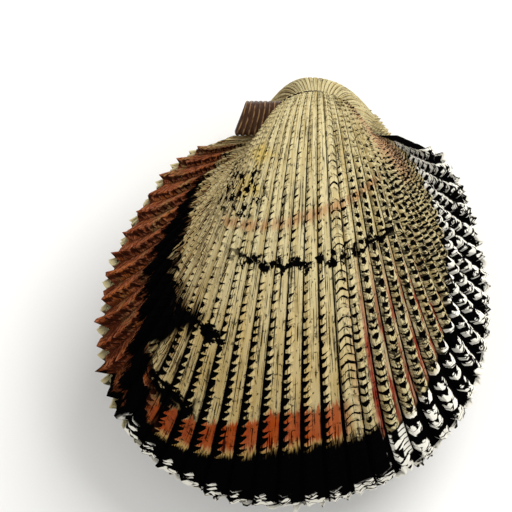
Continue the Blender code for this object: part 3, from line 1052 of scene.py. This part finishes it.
def shade_blots(plan, ground):
    """Painted shade: splashes below the beak and one blotch beside the dark patch."""
    splash = plan.away(*SHADE_SPLASHES[0]).falling(0.7, 1.3) + plan.away(*SHADE_SPLASHES[1]).falling(0.6, 1.0)
    ground = (splash * plan.blot.rising(0.53, 0.56)).tint(ground, plan.colours.dusk)
    blotch = (plan.away(*SHADE_BLOTCH) + (plan.blot - 0.5) * 2).falling(0.60, 0.70)
    return blotch.tint(ground, plan.colours.dusk)


def beak_outline_shade(plan, ground):
    """A thin line of painted shade round the upper beak, which lies further out to the rear and to the
    front.
    """
    to_front = (plan.around - 0.58).positive()
    line = (0.57 - plan.around).positive() * 0.22 + to_front * to_front * 2.9 - plan.growth
    line = line.near(-BEAK_OUTLINE_SHADE, 0.003, 0.007) * (1 - plan.lower)
    return line.tint(ground, plan.colours.dusk)


def shell_material(name, colours):
    """The shell's finish. Each layer of markings and painted shade lies over those before it."""
    made, shader, shade = blank_material(name)
    plan = MarkingPlan(shade, colours)
    ground = rib_ground(plan)
    layers = (
        faint_ring, front_colours, late_bands, flank_colours, painted_shade_areas, white_areas,
        fine_ink, scale_shadows, dark_ring, groove_shade, shade_blots, beak_outline_shade,
    )
    for layer in layers:
        ground = layer(plan, ground)
    relief = plan.hair * 0.6 + plan.fine * 0.35 + plan.fleck * 0.3
    ground.wire(shader, "Base Color")
    (0.55 + plan.fine * 0.25).wire(shader, "Roughness")
    relief.bump(0.25 * MM, 0.8).wire(shader, "Normal")
    shader.inputs["Specular IOR Level"].default_value = 0.0
    return made


def horn_material(name, colours):
    """Dark horn with pale lines that follow the ligament's ripples."""
    made, shader, shade = blank_material(name)
    line, rise = shade.mark("line"), shade.mark("rise")
    grain = shade.noise(shade.place(line * 3, rise * 2.4, 2.0), detail=3.0)
    pale = line.fraction().near(0.5, 0.05, 0.20) * grain.rising(0.36, 0.56)
    (pale * 0.75).tint(colours.horn, colours.horn_line).wire(shader, "Base Color")
    (0.34 + grain * 0.2).wire(shader, "Roughness")
    (grain + pale).bump(0.12 * MM, 0.5).wire(shader, "Normal")
    shader.inputs["Specular IOR Level"].default_value = 0.15
    return made


def floor_material(name, colours):
    """A plain pale surface with a faint unevenness."""
    made, shader, shade = blank_material(name)
    where = shade.node("ShaderNodeTexCoord", output=3)
    spread = shade.node("ShaderNodeVectorMath", {"operation": "SCALE"}, {0: where, 3: 18.0})
    base = np.array(colours.floor)
    shade.noise(spread, detail=2.0).tint(tuple(base), tuple(base * 0.985)).wire(shader, "Base Color")
    shader.inputs["Roughness"].default_value = 0.75
    return made


class ShellOperator(bpy.types.Operator):
    """What every shell operator shares."""

    bl_options = {"REGISTER", "UNDO"}

    @staticmethod
    def finish_of(context, name, maker):
        found = bpy.data.materials.get(name)
        return found or maker(name, context.scene.shell_colours)

    def dress(self, piece, node, slot):
        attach(piece, "root")
        if node:
            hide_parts(node)


class SHELL_OT_valve(ShellOperator):
    """Build one valve with its ribs and hollow."""

    bl_idname = "shell.valve"
    bl_label = "Valve"
    side: IntProperty(name="Side", description="1 for the upper valve, -1 for the lower", default=1)

    def execute(self, context):
        upper = self.side > 0
        slot = "upper_shell" if upper else "lower_shell"
        finish = self.finish_of(context, "shell", shell_material)
        form = Form(context.scene.shell_sizes)
        name = "upper_valve_body" if upper else "lower_valve_body"
        piece = valve_piece(form, name, self.side, 0.0 if upper else 0.5, finish)
        self.dress(piece, "upper_valve" if upper else "lower_valve", slot)
        return {"FINISHED"}


class SHELL_OT_scales(ShellOperator):
    """Build the scales on one valve's ribs."""

    bl_idname = "shell.scales"
    bl_label = "Scales"
    side: IntProperty(name="Side", description="1 for the upper valve, -1 for the lower", default=1)

    def execute(self, context):
        upper = self.side > 0
        finish = self.finish_of(context, "shell", shell_material)
        form = Form(context.scene.shell_sizes)
        name = "upper_scales" if upper else "lower_scales"
        piece = scales_piece(form, name, self.side, 0.0 if upper else 0.5, finish)
        self.dress(piece, None, "upper_shell" if upper else "lower_shell")
        return {"FINISHED"}


class SHELL_OT_ligament(ShellOperator):
    """Build the horny ligament behind the umbones."""

    bl_idname = "shell.ligament"
    bl_label = "Ligament"

    def execute(self, context):
        finish = self.finish_of(context, "ligament_horn", horn_material)
        piece = ligament_piece(Form(context.scene.shell_sizes), "ligament_band", finish)
        self.dress(piece, "ligament", "horn")
        return {"FINISHED"}


FLOOR_SIDE = 3.0
FLOOR_GAP = 0.2 * MM
KEY_PLACE = (0.27, 0.35, 0.46)
KEY_WIDTH = 0.36
KEY_POWER = 3.8
SKY_STRENGTH = 0.73
LENS = 300.0
SENSOR = 36.0


def add_area_light(name, place, aim, width, power):
    """A square soft light that faces aim."""
    data = bpy.data.lights.new(name, "AREA")
    data.shape = "SQUARE"
    data.size = width
    data.energy = power
    lamp = bpy.data.objects.new(name, data)
    lamp.location = place
    lamp.rotation_euler = Vector(np.array(aim) - np.array(place)).to_track_quat("-Z", "Y").to_euler()
    bpy.context.scene.collection.objects.link(lamp)


def node_points(node):
    """The corners of a solid's mesh as an array."""
    flat = np.empty(3 * len(node.data.vertices))
    node.data.vertices.foreach_get("co", flat)
    return flat.reshape(-1, 3)


class SHELL_OT_stage(ShellOperator):
    """Lay the pale floor, hang a soft light in an even white sky, and set the camera as in the photo."""

    bl_idname = "shell.stage"
    bl_label = "Stage"

    def execute(self, context):
        scene = context.scene
        bottom, top = np.array(FRAME_BOX)
        bpy.ops.mesh.primitive_grid_add(x_subdivisions=8, y_subdivisions=8, size=FLOOR_SIDE)
        floor = context.active_object
        floor.name = "floor"
        floor.location = (0, 0, bottom[2] - FLOOR_GAP)
        floor.data.materials.append(floor_material("pale_floor", scene.shell_colours))

        add_area_light("key", KEY_PLACE, (bottom + top) / 2, KEY_WIDTH, KEY_POWER)
        world = bpy.data.worlds.new("soft_white")
        world.use_nodes = True
        sky = world.node_tree.nodes["Background"]
        sky.inputs["Color"].default_value = (1.0, 1.0, 1.0, 1.0)
        sky.inputs["Strength"].default_value = SKY_STRENGTH
        scene.world = world
        scene.view_settings.view_transform = "Standard"

        turned = tipped(REST_PITCH, REST_ROLL) @ tipped(VIEW_PITCH, VIEW_ROLL).T
        seen = np.concatenate([node_points(node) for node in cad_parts.values()]) @ turned
        low, high = seen.min(axis=0), seen.max(axis=0)
        data = bpy.data.cameras.new("above")
        data.lens = LENS
        data.sensor_width = SENSOR
        data.clip_end = 10.0
        distance = PHOTO_SIDE * PIXEL * LENS / SENSOR
        place = np.array((
            (low[0] + high[0]) / 2 + (PHOTO_SIDE / 2 - PHOTO_SHELL_MIDDLE) * PIXEL,
            low[1] + (PHOTO_SHELL_BOTTOM - PHOTO_SIDE / 2) * PIXEL,
            (low[2] + high[2]) / 2 + distance,
        ))
        camera = bpy.data.objects.new("above", data)
        camera.location = turned @ place
        camera.rotation_euler = Matrix(turned.tolist()).to_euler()
        scene.collection.objects.link(camera)
        scene.camera = camera
        return {"FINISHED"}


class SHELL_PT_panel(bpy.types.Panel):
    """The shell's operators and settings."""

    bl_idname = "SHELL_PT_panel"
    bl_label = "Cockle shell"
    bl_space_type = "VIEW_3D"
    bl_region_type = "UI"
    bl_category = "Shell"

    def draw(self, context):
        column = self.layout.column()
        for label, side in (("upper", 1), ("lower", -1)):
            column.operator("shell.valve", text=f"Valve, {label}").side = side
            column.operator("shell.scales", text=f"Scales, {label}").side = side
        column.operator("shell.ligament")
        column.operator("shell.stage")
        for group in (context.scene.shell_sizes, context.scene.shell_colours):
            for name in group.__annotations__:
                column.prop(group, name)


CLASSES = (
    ShellSizes,
    ShellColours,
    SHELL_OT_valve,
    SHELL_OT_scales,
    SHELL_OT_ligament,
    SHELL_OT_stage,
    SHELL_PT_panel,
)


def register():
    for each in CLASSES:
        bpy.utils.register_class(each)
    bpy.types.Scene.shell_sizes = PointerProperty(type=ShellSizes)
    bpy.types.Scene.shell_colours = PointerProperty(type=ShellColours)


def unregister():
    del bpy.types.Scene.shell_colours
    del bpy.types.Scene.shell_sizes
    for each in reversed(CLASSES):
        bpy.utils.unregister_class(each)


def main():
    register()
    for side in (1, -1):
        bpy.ops.shell.valve(side=side)
        bpy.ops.shell.scales(side=side)
    bpy.ops.shell.ligament()
    bpy.ops.shell.stage()


if __name__ == "__main__":
    main()
